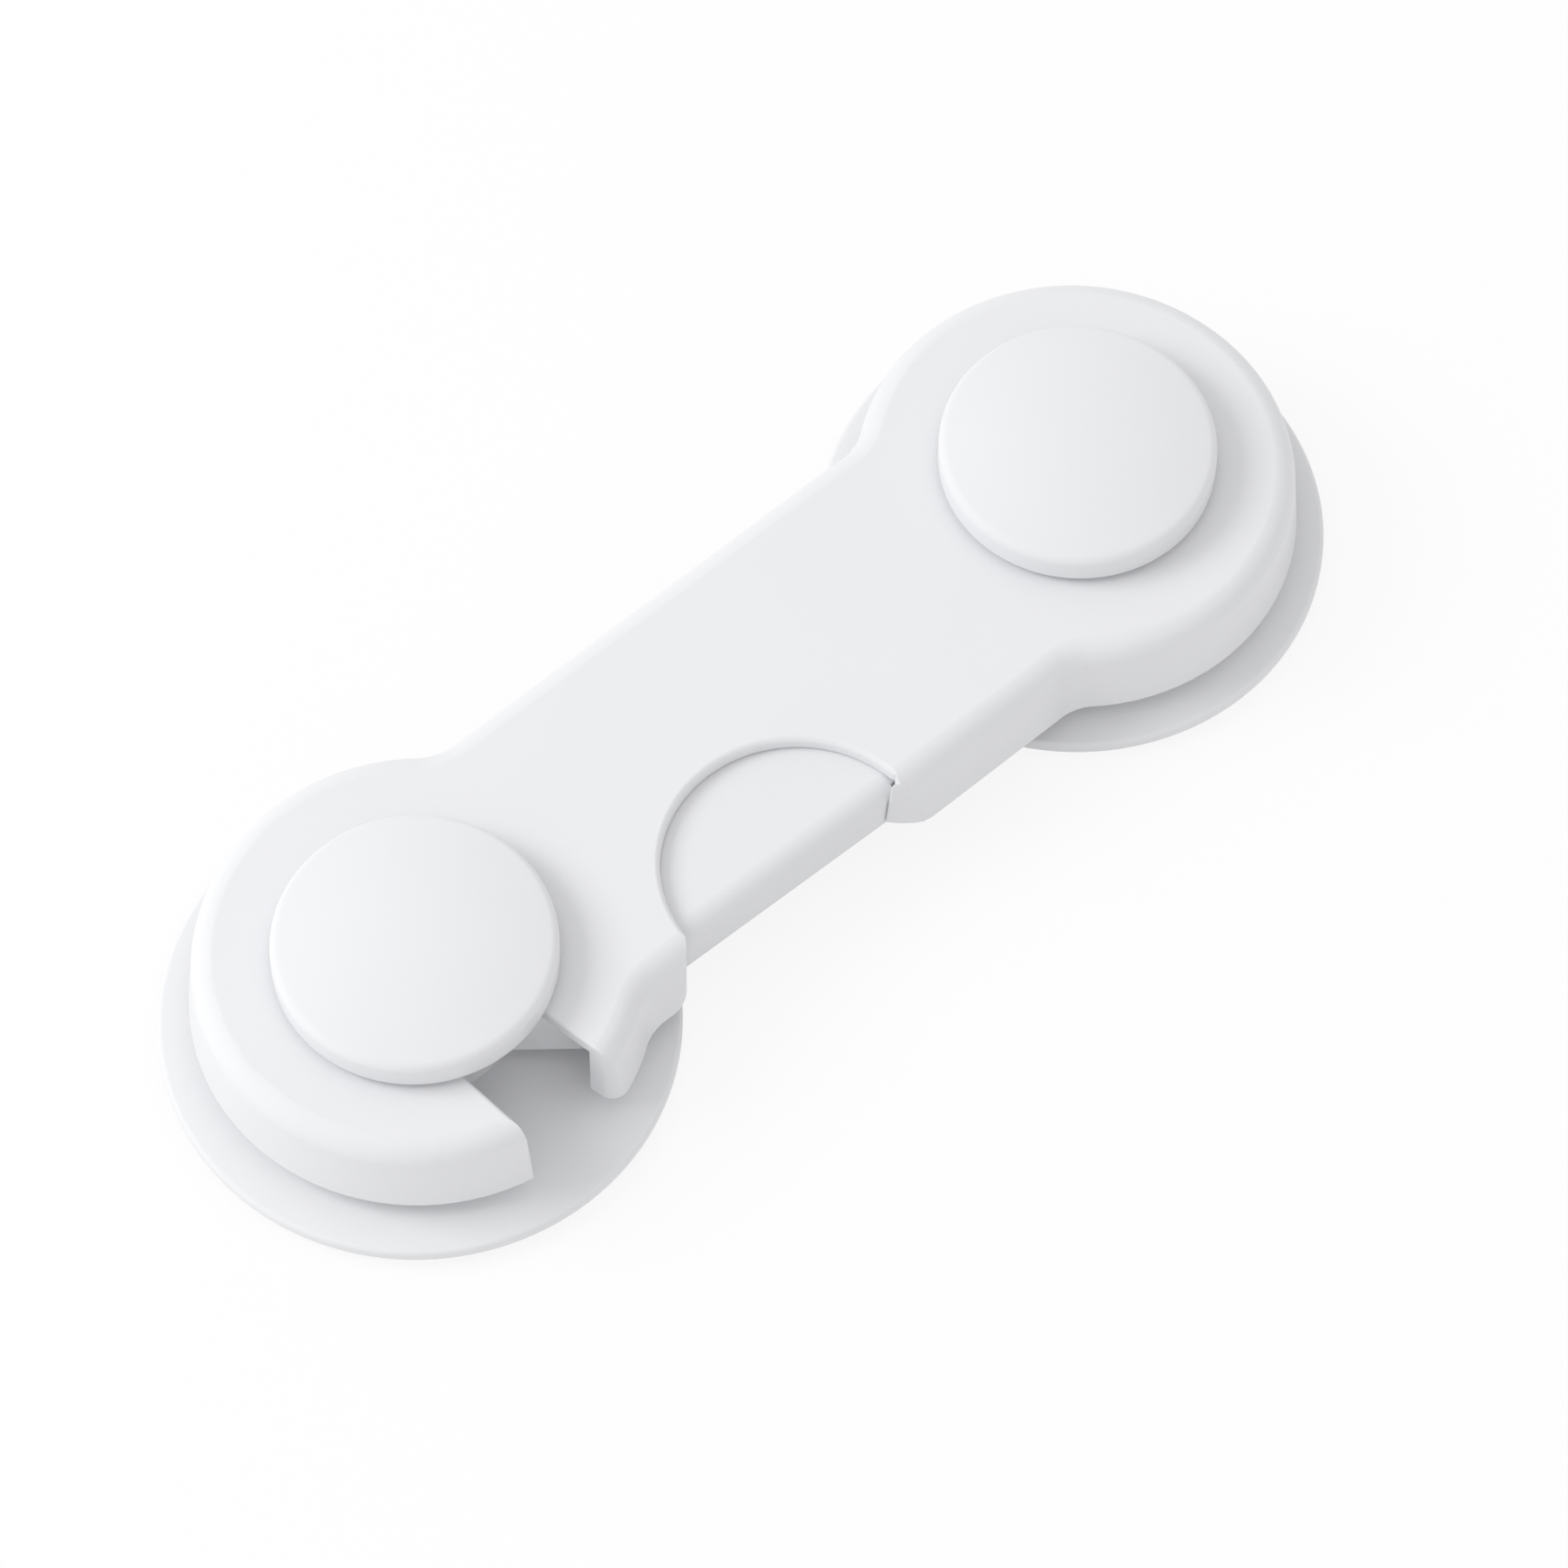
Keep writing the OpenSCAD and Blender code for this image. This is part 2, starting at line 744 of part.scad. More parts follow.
// Release lever with its latch tooth and thumb pad
module release_lever() {
    tooth_z = arm_z + tooth_gap;
    color("whitesmoke")
        difference() {
            union() {
                translate([0, 0, lever_z0])
                    linear_extrude(lever_z1 - lever_z0)
                        lever_plan();
                translate([0, 0, tooth_z])
                    linear_extrude(lever_z0 - tooth_z + cut)
                        tooth_plan();
                spring_peg(lever_back, 1);
            }
            pad_edge();
            translate([pin_pos[0], pin_pos[1], lever_z0 - cut])
                cylinder(r = lever_pin_d / 2 + lever_pin_clear, h = arm_h);
        }
}

// Steel pin that the lever turns on
module lever_pin() {
    low = arm_z + tip_room;
    color("silver")
        translate([pin_pos[0], pin_pos[1], low])
            cylinder(d = lever_pin_d, h = pin_top - tip_room - low);
}

// Point on the spring's helix, wound along +Y
function helix_point(step) =
    let (turn = 360 * step / ring_steps)
    [spring_r * cos(turn), coil_span * step / (turns * ring_steps), spring_r * sin(turn)];

// Points of one ring of wire round the helix
function wire_ring(step) =
    let (turn = 360 * step / ring_steps)
    let (slope = atan2(coil_span / turns, PI * spring_d))
    let (out = [cos(turn), 0, sin(turn)])
    let (rise = [sin(turn) * sin(slope), cos(slope), -cos(turn) * sin(slope)])
    [for (i = [0:wire_sides - 1])
        let (a = 360 * i / wire_sides)
        helix_point(step) + wire_d / 2 * (cos(a) * out + sin(a) * rise)];

// Least gap between neighbouring turns, measured on the points of the helix
least_turn_gap = min([
    for (far = [ring_steps - 3:ring_steps + 3])
        norm(helix_point(far) - helix_point(0)) - wire_d
]);

// Return spring: one tube between the lever and its rib
module lever_spring() {
    rings = turns * ring_steps + 1;
    points = [for (step = [0:rings - 1]) each wire_ring(step)];
    last = (rings - 1) * wire_sides;
    sides = [
        for (ring = [0:rings - 2], i = [0:wire_sides - 1])
            let (j = (i + 1) % wire_sides)
            let (a = ring * wire_sides)
            let (b = a + wire_sides)
            each [[a + i, a + j, b + j], [a + i, b + j, b + i]]
    ];
    start_cap = [for (i = [1:wire_sides - 2]) [0, i + 1, i]];
    end_cap = [for (i = [1:wire_sides - 2]) [last, last + i, last + i + 1]];
    echo(least_turn_gap = least_turn_gap);
    color("silver")
        translate(spring_pos + [0, spring_gap + wire_d / 2, 0])
            polyhedron(points, concat(sides, start_cap, end_cap));
}

// Screws of the bottom plate, with their driver recesses
module plate_screws() {
    color("silver")
        for (at = plate_screws_at)
            translate([at[0], at[1], arm_z])
                difference() {
                    plate_screw(0, 0);
                    cross_recess(plate_head_d, plate_head_h);
                }
}

module pivot_base() { color("white") base(pivot_x); }
module catch_base() { color("white") base(catch_x); }
module pivot_pad() { color("lightgrey") pad(pivot_x); }
module catch_pad() { color("lightgrey") pad(catch_x); }
module pivot_cap() { color("white") cap(pivot_x); }
module catch_cap() { color("white") cap(catch_x); }
module pivot_screw() { color("silver") cap_screw(pivot_x); }
module catch_screw() { color("silver") cap_screw(catch_x); }

pivot_base();
catch_base();
pivot_pad();
catch_pad();
pivot_cap();
catch_cap();
pivot_screw();
catch_screw();
arm_shell();
arm_plate();
plate_screws();
release_lever();
lever_pin();
lever_spring();
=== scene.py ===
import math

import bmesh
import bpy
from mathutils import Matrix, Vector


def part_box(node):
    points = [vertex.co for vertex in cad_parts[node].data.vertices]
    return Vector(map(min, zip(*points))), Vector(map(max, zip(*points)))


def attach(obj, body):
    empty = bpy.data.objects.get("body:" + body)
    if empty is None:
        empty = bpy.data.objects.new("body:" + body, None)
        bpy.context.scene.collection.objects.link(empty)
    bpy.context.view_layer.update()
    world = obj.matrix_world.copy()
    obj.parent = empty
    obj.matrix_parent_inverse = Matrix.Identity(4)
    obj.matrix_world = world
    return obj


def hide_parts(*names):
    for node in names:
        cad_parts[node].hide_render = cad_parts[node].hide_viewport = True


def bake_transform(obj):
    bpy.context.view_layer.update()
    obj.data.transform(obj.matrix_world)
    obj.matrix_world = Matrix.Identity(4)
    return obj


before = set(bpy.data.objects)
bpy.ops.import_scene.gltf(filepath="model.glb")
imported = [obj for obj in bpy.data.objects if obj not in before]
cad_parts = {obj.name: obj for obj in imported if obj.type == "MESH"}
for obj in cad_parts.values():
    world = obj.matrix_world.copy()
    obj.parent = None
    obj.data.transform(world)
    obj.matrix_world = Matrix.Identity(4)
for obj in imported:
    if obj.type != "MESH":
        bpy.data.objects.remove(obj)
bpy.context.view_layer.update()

# %% [markdown]
# # A stick-on cabinet lock
# The lock is a dog-bone arm on two round bases. A button cap holds it on each post, and a sprung
# thumb lever inside the arm lets go of the catch post. The solids are loaded already, as the frame.
# Everything below is made in the same place and in metres, so a size in millimetres is multiplied
# by MM once and never fitted by eye.

MM = 0.001
scene = bpy.context.scene


def new_object(name, data):
    """An object at the origin, linked to the scene."""
    made = bpy.data.objects.new(name, data)
    scene.collection.objects.link(made)
    return made


print("solids:", sorted(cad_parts))

# %% [markdown]
# ## Maths on sockets
# Shader and geometry trees are easier to read as formulas than as long lists of links. One small
# class wraps an output socket: an operator on it adds a Math node, and its node method adds any
# other node, with the settings set first and the sockets' values or links after them.


# %% A socket with operators
class Wire:
    """An output socket of a node tree, with the operators that the formulas below use."""

    def __init__(self, tree, socket=None):
        self.tree = tree
        self.socket = socket

    def node(self, kind, settings=None, sockets=None, output=0):
        """Adds a node and returns one of its outputs, or the node itself if it has none."""
        made = self.tree.nodes.new(kind)
        for name, value in (settings or {}).items():
            setattr(made, name, value)
        for key, value in (sockets or {}).items():
            for one in value if isinstance(value, list) else [value]:
                if isinstance(one, Wire):
                    self.tree.links.new(one.socket, made.inputs[key])
                else:
                    made.inputs[key].default_value = one
        return Wire(self.tree, made.outputs[output]) if made.outputs else made

    def also(self, output):
        """Another output of the same node."""
        return Wire(self.tree, self.socket.node.outputs[output])

    def maths(self, operation, *values):
        return self.node("ShaderNodeMath", {"operation": operation}, dict(enumerate(values)))

    def __add__(self, other):
        return self.maths("ADD", self, other)

    __radd__ = __add__

    def __sub__(self, other):
        return self.maths("SUBTRACT", self, other)

    def __rsub__(self, other):
        return self.maths("SUBTRACT", other, self)

    def __mul__(self, other):
        return self.maths("MULTIPLY", self, other)

    __rmul__ = __mul__

    def __truediv__(self, other):
        return self.maths("DIVIDE", self, other)

    def __rtruediv__(self, other):
        return self.maths("DIVIDE", other, self)


print("operators ready: + - * /")

# %% [markdown]
# ## Finishes
# The lock is moulded in a bluish white plastic with a satin gloss. Under a lens such a moulding isn't
# even: the tone drifts a little from place to place, the steel mould leaves a very fine grain, and the
# gloss changes with it. Image textures could show that, but noise on Object coordinates needs no
# file and no UV map, and it keeps its scale in millimetres. So each plastic is made of three noises:
# a broad one for the tone, a middle one for the gloss and a fine one for the grain.


# %% Start of a finish
def new_finish(name):
    """A material with a bare Principled shader, and a wire to start its formulas from."""
    material = bpy.data.materials.new(name)
    material.use_nodes = True
    tree = material.node_tree
    shader = tree.nodes["Principled BSDF"]
    start = Wire(tree)
    place = start.node("ShaderNodeTexCoord", output="Object")
    return material, shader, place


def noise(place, size, detail=2.0):
    """Soft noise whose blotches are about one size across."""
    sockets = {"Vector": place, "Scale": 1 / size, "Detail": detail}
    return place.node("ShaderNodeTexNoise", sockets=sockets)


def mix_colour(factor, low, high):
    sockets = {0: factor, 6: (*low, 1), 7: (*high, 1)}
    return factor.node("ShaderNodeMix", {"data_type": "RGBA"}, sockets, output=2)


def link(wire, shader, name):
    wire.tree.links.new(wire.socket, shader.inputs[name])


def raised(height, strength, depth, shader):
    """Lets a height stand out of the surface as a bump."""
    sockets = {"Height": height, "Strength": strength, "Distance": depth}
    link(height.node("ShaderNodeBump", sockets=sockets), shader, "Normal")


print("helpers for finishes ready")

# %% Moulded plastics
TONE_SIZE, TONE_DETAIL, SHEEN_SIZE = 14 * MM, 3, 2.5 * MM
SHEEN_SPREAD, GRAIN_SPREAD, GRAIN_STRENGTH = 0.12, 0.06, 0.35
PLASTIC_IOR = 1.5


def moulded_plastic(name, dark, light, gloss, grain_size, grain_depth):
    material, shader, place = new_finish(name)
    tone = noise(place, TONE_SIZE, TONE_DETAIL)
    sheen = noise(place, SHEEN_SIZE)
    grain = noise(place, grain_size)
    link(mix_colour(tone, dark, light), shader, "Base Color")
    link(gloss + SHEEN_SPREAD * (sheen - 0.5) + GRAIN_SPREAD * (grain - 0.5), shader, "Roughness")
    raised(grain, GRAIN_STRENGTH, grain_depth, shader)
    shader.inputs["IOR"].default_value = PLASTIC_IOR
    return material


white_plastic = moulded_plastic(
    "white_satin_plastic", (0.835, 0.840, 0.860), (0.865, 0.868, 0.885), 0.34, 0.22 * MM, 0.006 * MM
)
lever_plastic = moulded_plastic(
    "lever_satin_plastic", (0.825, 0.830, 0.848), (0.855, 0.858, 0.874), 0.38, 0.22 * MM, 0.008 * MM
)
inner_plastic = moulded_plastic(
    "inner_matte_plastic", (0.74, 0.745, 0.76), (0.79, 0.795, 0.81), 0.58, 0.30 * MM, 0.02 * MM
)
print("plastics:", white_plastic.name, lever_plastic.name, inner_plastic.name)

# %% [markdown]
# The pads under the bases are closed-cell foam. Its skin shows small cells, so a Voronoi texture
# gives the cell walls, both as a tone and as a bump. The screws, the pin and the spring are plated
# steel: fully metallic, with long fine drawing marks that come from a noise stretched along one axis.


# %% Foam and steel
FOAM_SKIN, FOAM_WALL, FOAM_ROUGH = (0.72, 0.73, 0.745), (0.60, 0.61, 0.625), 0.88
CELL_SIZE, CELL_DEPTH, CELL_STRENGTH, FOAM_DRIFT = 0.55 * MM, 0.08 * MM, 0.6, 6 * MM
STEEL_DARK, STEEL_LIGHT, STEEL_ROUGH = (0.60, 0.61, 0.63), (0.70, 0.71, 0.73), 0.26
MARK_SIZE, MARK_DEPTH, MARK_STRENGTH, STEEL_DRIFT = 0.12 * MM, 0.004 * MM, 0.25, 1.5 * MM
MARK_STRETCH = (1.0, 1.0, 0.08)


def cell_foam():
    material, shader, place = new_finish("closed_cell_foam")
    sockets = {"Vector": place, "Scale": 1 / CELL_SIZE}
    cells = place.node("ShaderNodeTexVoronoi", {"feature": "F1"}, sockets)
    drift = noise(place, FOAM_DRIFT)
    tone = 0.6 * cells + 0.5 * drift
    link(mix_colour(tone, FOAM_SKIN, FOAM_WALL), shader, "Base Color")
    link(FOAM_ROUGH + 0.08 * (drift - 0.5), shader, "Roughness")
    raised(cells, CELL_STRENGTH, CELL_DEPTH, shader)
    return material


def plated_steel():
    material, shader, place = new_finish("plated_steel")
    stretched = place.node("ShaderNodeMapping", sockets={"Vector": place, "Scale": MARK_STRETCH})
    marks = noise(stretched, MARK_SIZE)
    drift = noise(place, STEEL_DRIFT)
    link(mix_colour(drift, STEEL_DARK, STEEL_LIGHT), shader, "Base Color")
    link(STEEL_ROUGH + 0.16 * (marks - 0.5) + 0.10 * (drift - 0.5), shader, "Roughness")
    raised(marks, MARK_STRENGTH, MARK_DEPTH, shader)
    shader.inputs["Metallic"].default_value = 1.0
    return material


foam = cell_foam()
steel = plated_steel()
print("other finishes:", foam.name, steel.name)

# %% [markdown]
# ## Turned pieces
# Caps, bases, pads and the pin are round about an upright axis, so each is one half section turned
# about that axis. A Screw modifier could do it. A Geometry Nodes tree is chosen because its inputs
# have names and one tree makes all of these pieces: a grid has one row for each point of the section
# and one column for each step, and every grid point is put where its section point has turned to.


# %% Half sections
def rounded(corners, arc_steps=6):
    """Points of a half section from corners (radius, height, rounding), all in millimetres."""
    points = []
    for index, (r, z, rounding) in enumerate(corners):
        here = Vector((r, z))
        if not rounding:
            points.append(here)
            continue
        before = (Vector(corners[index - 1][:2]) - here).normalized()
        after = (Vector(corners[(index + 1) % len(corners)][:2]) - here).normalized()
        half = before.angle(after) / 2
        centre = here + (before + after).normalized() * rounding / math.sin(half)
        start = here + before * rounding / math.tan(half) - centre
        finish = here + after * rounding / math.tan(half) - centre
        sweep = start.angle_signed(finish)
        for step in range(arc_steps + 1):
            points.append(centre + Matrix.Rotation(-sweep * step / arc_steps, 2) @ start)
    return points


def section_mesh(name, points):
    """The section as a line of points in the X-Z plane, closed on itself."""
    mesh = bpy.data.meshes.new(name)
    loop = points + points[:1]
    edges = [(i, i + 1) for i in range(len(points))]
    mesh.from_pydata([(p.x * MM, 0, p.y * MM) for p in loop], edges, [])
    return mesh


square = [(0, 0, 0), (9, 0, 2), (9, 9, 0), (0, 9, 0)]
print("a square with one rounded corner has", len(rounded(square)), "points")


# %% Tree that turns a section
SEAM = 0.001 * MM


def new_tree(name, inputs):
    """An empty geometry tree with named inputs, and a wire of each of its inputs."""
    tree = bpy.data.node_groups.new(name, "GeometryNodeTree")
    tree.interface.new_socket("Geometry", in_out="INPUT", socket_type="NodeSocketGeometry")
    for title, kind in inputs:
        tree.interface.new_socket(title, in_out="INPUT", socket_type=kind)
    tree.interface.new_socket("Geometry", in_out="OUTPUT", socket_type="NodeSocketGeometry")
    entry = tree.nodes.new("NodeGroupInput")
    return tree, {socket.name: Wire(tree, socket) for socket in entry.outputs if socket.name}


def close_tree(shape, material):
    """Ends a tree in Realize Instances and Set Material."""
    real = shape.node("GeometryNodeRealizeInstances", sockets={"Geometry": shape})
    dressed = shape.node("GeometryNodeSetMaterial", sockets={"Geometry": real, "Material": material})
    shape.node("NodeGroupOutput", sockets={"Geometry": dressed})


def turning_tree():
    tree, given = new_tree(
        "turned_piece",
        [("Steps", "NodeSocketInt"), ("Centre", "NodeSocketVector"), ("Finish", "NodeSocketMaterial")],
    )
    section, steps = given["Geometry"], given["Steps"]
    rows = section.node("GeometryNodeAttributeDomainSize", sockets={"Geometry": section})
    sheet = section.node("GeometryNodeMeshGrid", sockets={"Vertices X": steps + 1, "Vertices Y": rows})
    index = section.node("GeometryNodeInputIndex")
    row = index.maths("MODULO", index, rows)
    column = index.maths("FLOOR", index / rows)
    place = section.node("GeometryNodeInputPosition")
    point = section.node(
        "GeometryNodeSampleIndex",
        {"data_type": "FLOAT_VECTOR"},
        {"Geometry": section, "Value": place, "Index": row},
    )
    split = section.node("ShaderNodeSeparateXYZ", sockets={0: point})
    angle = column * (2 * math.pi) / steps
    x = split * angle.maths("COSINE", angle)
    y = split * angle.maths("SINE", angle)
    spot = section.node("ShaderNodeCombineXYZ", sockets={0: x, 1: y, 2: split.also(2)})
    moved = section.node(
        "ShaderNodeVectorMath", {"operation": "ADD"}, {0: spot, 1: given["Centre"]}
    )
    turned = section.node("GeometryNodeSetPosition", sockets={"Geometry": sheet, "Position": moved})
    closed = section.node("GeometryNodeMergeByDistance", sockets={"Geometry": turned, "Distance": SEAM})
    close_tree(closed, given["Finish"])
    return tree


turning = turning_tree()
print("tree:", turning.name, "with", len(turning.nodes), "nodes")


# %% From a tree to a plain mesh
SHARP, DOUBLE = math.radians(32), 0.0001 * MM


def outward(mesh):
    """Turns all faces of a closed mesh outwards and shades it smooth up to a sharp angle."""
    work = bmesh.new()
    work.from_mesh(mesh)
    bmesh.ops.remove_doubles(work, verts=work.verts, dist=DOUBLE)
    bmesh.ops.recalc_face_normals(work, faces=work.faces)
    work.to_mesh(mesh)
    work.free()
    mesh.shade_smooth()
    mesh.set_sharp_from_angle(angle=SHARP)


def applied(source):
    """The mesh of an object with its modifiers applied; the object itself is removed."""
    depsgraph = bpy.context.evaluated_depsgraph_get()
    plain = bpy.data.meshes.new_from_object(source.evaluated_get(depsgraph))
    bpy.data.objects.remove(source)
    return plain


def made_by(tree, name, mesh, values):
    """Runs a tree on a mesh, and keeps its result as a plain mesh object at the origin."""
    source = new_object(name + "_source", mesh)
    modifier = source.modifiers.new("shape", "NODES")
    modifier.node_group = tree
    for item in tree.interface.items_tree:
        if item.in_out == "INPUT" and item.name in values:
            modifier[item.identifier] = values[item.name]
    plain = applied(source)
    plain.name = name
    outward(plain)
    return new_object(name, plain)


def dress(piece, slot, *nodes):
    """Puts a piece in place of its solids, which it hides. The slot is not used."""
    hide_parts(*nodes)
    print(piece.name, "with", len(piece.data.polygons), "faces for", *nodes)


def fit(piece, body, slot, *nodes):
    """Lets a piece ride on a body in place of its solids."""
    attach(piece, body)
    dress(piece, slot, *nodes)


TURN_STEPS = 128
POSTS = {"pivot": 37.5, "catch": -37.5}


def turned(name, points, x, finish, y=0.0, steps=TURN_STEPS):
    values = {"Steps": steps, "Centre": (x * MM, y * MM, 0.0), "Finish": finish}
    return made_by(turning, name, section_mesh(name + "_section", points), values)


print("posts at", POSTS, "and", TURN_STEPS, "steps in a full turn")

# %% [markdown]
# ## Button caps
# Each cap is a shallow dome with an upright side and a soft shoulder. The crown is part of a large
# sphere, so its points are worked out from the sphere and not drawn by hand. Below, the cap is cored
# out to an even wall, and a seat in the middle takes the post's spigot and the screw.

# %% Caps
CAP_R, CAP_LOW, CAP_SIDE, CAP_EDGE, CAP_CROWN = 12.2, 13.6, 15.7, 1.0, 1.6
CAP_BORE_R, CAP_BORE_TOP, SEAT_R, SEAT_TOP = 1.04, 17.1, 2.55, 15.0
CORE_IN_R, CORE_OUT_R, CORE_TOP = 4.6, 10.2, CAP_LOW + 2.4
SHOULDER_STEPS, CROWN_STEPS = 8, 20


def cap_section():
    flat_r = CAP_R - CAP_EDGE
    edge_z = CAP_SIDE + CAP_EDGE
    sphere_r = (flat_r**2 + CAP_CROWN**2) / (2 * CAP_CROWN)
    lean = math.asin(flat_r / sphere_r)
    under = [
        (CAP_BORE_R, SEAT_TOP, 0), (SEAT_R, SEAT_TOP, 0), (SEAT_R, CAP_LOW, 0.15),
        (CORE_IN_R, CAP_LOW, 0.2), (CORE_IN_R, CORE_TOP, 0.3), (CORE_OUT_R, CORE_TOP, 0.3),
        (CORE_OUT_R, CAP_LOW, 0.2), (CAP_R, CAP_LOW, 0.25), (CAP_R, CAP_SIDE, 0),
    ]
    points = [Vector((0.0, CAP_BORE_TOP)), Vector((CAP_BORE_R, CAP_BORE_TOP))] + rounded(under)[:-1]
    for step in range(SHOULDER_STEPS + 1):
        turn = (math.pi / 2 - lean) * step / SHOULDER_STEPS
        points.append(Vector((flat_r + CAP_EDGE * math.cos(turn), CAP_SIDE + CAP_EDGE * math.sin(turn))))
    for step in range(1, CROWN_STEPS + 1):
        turn = lean * (1 - step / CROWN_STEPS)
        crown_z = edge_z + CAP_CROWN - sphere_r * (1 - math.cos(turn))
        points.append(Vector((sphere_r * math.sin(turn), crown_z)))
    return points


for end, x in POSTS.items():
    cap = turned(end + "_button_cap", cap_section(), x, white_plastic)
    fit(cap, "root", "white_plastic", end + "_cap")

# %% [markdown]
# ## Bases
# A base is a thin disc with a rolled rim, a top that rises gently to a boss, and the hollow post that
# the arm turns on. Only the disc shows around the arm, but the whole section is turned, so that the
# post and the screw's seat are there when the arm swings away.

# %% Bases
BASE_CORNERS = [
    (2.4, 1.0, 0.1), (22.5, 1.0, 0.3), (22.5, 2.3, 0.5), (8.6, 4.2, 0.6), (8.0, 4.5, 0.2),
    (3.8, 4.5, 0.25), (3.8, 13.6, 0.1), (2.5, 13.6, 0.1), (2.5, 14.8, 0.2), (1.3, 14.8, 0.1),
    (1.3, 6.5, 0), (2.4, 6.5, 0),
]
for end, x in POSTS.items():
    base = turned(end + "_round_base", rounded(BASE_CORNERS), x, white_plastic)
    fit(base, "root", "white_plastic", end + "_base")

# %% [markdown]
# ## Foam pads
# The adhesive pads are soft, so they aren't left as plain discs: the cut edge bulges a little where
# the foam is squeezed between the base and the door. The faces above and below stay flat, because
# they are stuck down all over.

# %% Pads
PAD_R, PAD_TOP, PAD_BULGE = 20.5, 1.0, 0.12
PAD_RINGS, EDGE_STEPS = (0.0, 6.0, 12.0, 17.0), 8


def pad_section():
    points = [Vector((r, 0.0)) for r in PAD_RINGS]
    for step in range(EDGE_STEPS + 1):
        turn = math.pi * (step / EDGE_STEPS - 0.5)
        edge_r = PAD_R - PAD_BULGE + PAD_BULGE * math.cos(turn)
        points.append(Vector((edge_r, PAD_TOP * (0.5 + 0.5 * math.sin(turn)))))
    return points + [Vector((r, PAD_TOP)) for r in reversed(PAD_RINGS)]


for end, x in POSTS.items():
    pad = turned(end + "_foam_pad", pad_section(), x, foam)
    fit(pad, "root", "foam", end + "_pad")

# %% [markdown]
# ## Lever pin
# The pin is a short length of ground steel rod with both ends chamfered so that it presses in easily.

# %% Pin
PIN_CHAMFER, PIN_STEPS = 0.3, 48
pin_low, pin_high = [Vector(corner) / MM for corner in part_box("lever_pin")]
pin_r, pin_at = (pin_high.x - pin_low.x) / 2, (pin_high + pin_low) / 2
end_r = pin_r - PIN_CHAMFER
pin_corners = [
    (0, pin_low.z, 0), (end_r, pin_low.z, 0), (pin_r, pin_low.z + PIN_CHAMFER, 0),
    (pin_r, pin_high.z - PIN_CHAMFER, 0), (end_r, pin_high.z, 0), (0, pin_high.z, 0),
]
pin = turned("steel_lever_pin", rounded(pin_corners), pin_at.x, steel, y=pin_at.y, steps=PIN_STEPS)
fit(pin, "arm", "steel", "lever_pin")

# %% [markdown]
# ## Screws
# Two pan-head screws come up through the posts into the caps, and four countersunk screws hold the
# bottom plate. They repeat, so one tree makes them all: a head with a cross recess cut into it, a
# core with a blunt tip, and a thread that is a spiral curve with a round section. The tree puts a
# copy on each point of the mesh it is given, and its inputs are the sizes in a screw table.


# %% Tree for screws
def xyz(wire, x=0.0, y=0.0, z=0.0):
    return wire.node("ShaderNodeCombineXYZ", sockets={0: x, 1: y, 2: z})


def lifted(shape, height):
    spot = xyz(shape, z=height)
    return shape.node("GeometryNodeTransform", sockets={"Geometry": shape, "Translation": spot})


def cone(start, low_r, high_r, depth, sides=40):
    sockets = {"Vertices": sides, "Radius Top": high_r, "Radius Bottom": low_r, "Depth": depth}
    return start.node("GeometryNodeMeshCone", sockets=sockets)


def tube(path, radius, sides):
    """A wire of round section along a path, with closed ends."""
    ring = path.node("GeometryNodeCurvePrimitiveCircle", sockets={"Resolution": sides, "Radius": radius})
    sockets = {"Curve": path, "Profile Curve": ring, "Fill Caps": True}
    return path.node("GeometryNodeCurveToMesh", sockets=sockets)


SCREW_INPUTS = ["Head radius", "Neck radius", "Head height", "Shank radius", "Length", "Pitch"]
CORE_SHARE, TIP_SHARE, POINT_SHARE, RIDGE_SHARE = 0.82, 0.9, 0.35, 0.16
RECESS_SPAN, RECESS_SLOT, RECESS_DEPTH = 1.1, 0.25, 1.2
CORE_SIDES, THREAD_STEPS, THREAD_SIDES = 24, 20, 6


def screw_tree():
    tree, given = new_tree(
        "screw", [(title, "NodeSocketFloat") for title in SCREW_INPUTS] + [("Finish", "NodeSocketMaterial")]
    )
    at, pitch = given["Geometry"], given["Pitch"]
    head_r, head_h, shank_r = given["Head radius"], given["Head height"], given["Shank radius"]
    head = cone(at, head_r, given["Neck radius"], head_h)
    span = RECESS_SPAN * head_r
    slot = RECESS_SLOT * span
    for width, depth in ((span, slot), (slot, span)):
        size = xyz(at, width, depth, RECESS_DEPTH * head_h)
        bit = at.node("GeometryNodeMeshCube", sockets={"Size": size})
        head = at.node(
            "GeometryNodeMeshBoolean",
            {"operation": "DIFFERENCE", "solver": "EXACT"},
            {"Mesh 1": head, "Mesh 2": bit},
        )
    core_r, tip = CORE_SHARE * shank_r, TIP_SHARE * shank_r
    core_l = given["Length"] - head_h - tip
    core = lifted(cone(at, core_r, core_r, core_l, CORE_SIDES), head_h)
    point = lifted(cone(at, core_r, POINT_SHARE * core_r, tip, CORE_SIDES), head_h + core_l)
    ridge = RIDGE_SHARE * shank_r
    path = at.node(
        "GeometryNodeCurveSpiral",
        sockets={
            "Resolution": THREAD_STEPS,
            "Rotations": (core_l - 2 * pitch) / pitch,
            "Start Radius": shank_r - ridge,
            "End Radius": shank_r - ridge,
            "Height": core_l - 2 * pitch,
        },
    )
    thread = lifted(tube(path, ridge, THREAD_SIDES), head_h + pitch)
    screw = at.node("GeometryNodeJoinGeometry", sockets={"Geometry": [head, core, point, thread]})
    placed = at.node("GeometryNodeInstanceOnPoints", sockets={"Points": at, "Instance": screw})
    close_tree(placed, given["Finish"])
    return tree


screw_maker = screw_tree()
print("tree:", screw_maker.name, "with", len(screw_maker.nodes), "nodes")


